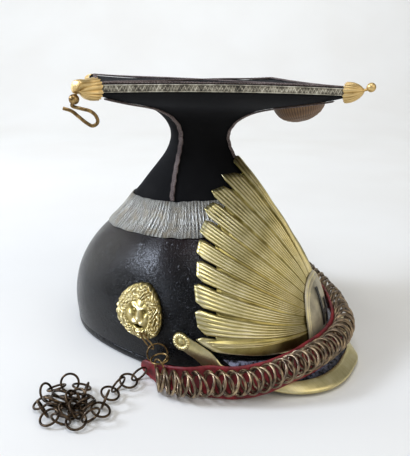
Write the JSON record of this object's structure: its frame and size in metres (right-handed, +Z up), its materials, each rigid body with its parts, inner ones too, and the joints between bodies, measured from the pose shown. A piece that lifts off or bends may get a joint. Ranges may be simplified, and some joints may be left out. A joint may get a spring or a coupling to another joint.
{
  "type": "lancer czapka",
  "caption": "Black leather and cloth lancer cap with square top, pressed rayed brass plate, bound peak, lion bosses, corner caps, hook and curb chain on a red strap.",
  "frame": {"origin": "middle of the box on the surface that the cap stands on", "axes": "+Z up, -Y towards the front, -X towards the wearer's right"},
  "size_m": [0.3164, 0.275, 0.2097],
  "materials": {
    "black_leather": "gloss black varnish with fine crackle",
    "black_cloth": "close fulled wool, matt",
    "silver_lace": "woven metal lace, tarnished",
    "grey_braid": "flat mauve-grey braid",
    "brass": "polished, warm, lightly soiled",
    "gilt_brass": "soft gilt",
    "white_metal": "worn white metal with brown tarnish",
    "dark_numeral": "dark, matt",
    "chain_metal": "bronzed, worn bright on the high points",
    "dark_chain": "dark bronzed",
    "red_leather": "matt red, worn at the edges",
    "brown_cord": "brown thread wound round a dome"
  },
  "bodies": {
    "root": {"skull": "black_leather", "skull_rim": "black_leather", "pavilion": "black_cloth", "silver_band": "silver_lace", "top_board": "black_cloth", "rim_lace": "silver_lace", "top_edge_braid": "grey_braid", "top_cross_braid": "grey_braid", "seam_braid_front": "grey_braid", "corner_cap_front": "gilt_brass", "seam_braid_left": "grey_braid", "corner_cap_left": "gilt_brass", "seam_braid_back": "grey_braid", "corner_cap_back": "gilt_brass", "seam_braid_right": "grey_braid", "corner_cap_right": "gilt_brass", "corner_hook": "gilt_brass", "sun_plate": "brass", "plate_badge": "white_metal", "badge_numeral": "dark_numeral", "peak": "black_leather", "peak_binding": "brass", "lion_boss_right": "brass", "lion_boss_left": "brass", "strap_backing": "red_leather", "gourmette_1": "chain_metal", "gourmette_2": "chain_metal", "gourmette_3": "chain_metal", "gourmette_4": "chain_metal", "gourmette_5": "chain_metal", "boss_loop_right": "gilt_brass", "boss_loop_left": "gilt_brass", "link_ring_right_1": "gilt_brass", "link_ring_right_2": "gilt_brass", "link_ring_right_3": "gilt_brass", "link_ring_left_1": "gilt_brass", "link_ring_left_2": "gilt_brass", "tail_ring_01": "dark_chain", "tail_ring_02": "dark_chain", "tail_ring_03": "dark_chain", "tail_ring_04": "dark_chain", "tail_ring_05": "dark_chain", "tail_ring_06": "dark_chain", "tail_ring_07": "dark_chain", "tail_ring_08": "dark_chain", "tail_ring_09": "dark_chain", "tail_ring_10": "dark_chain", "tail_ring_11": "dark_chain", "tail_ring_12": "dark_chain", "tail_ring_13": "dark_chain", "tail_ring_14": "dark_chain", "tail_ring_15": "dark_chain", "tail_ring_16": "dark_chain", "tail_ring_17": "dark_chain", "tail_ring_18": "dark_chain", "cockade": "brown_cord"}
  },
  "joints": []
}
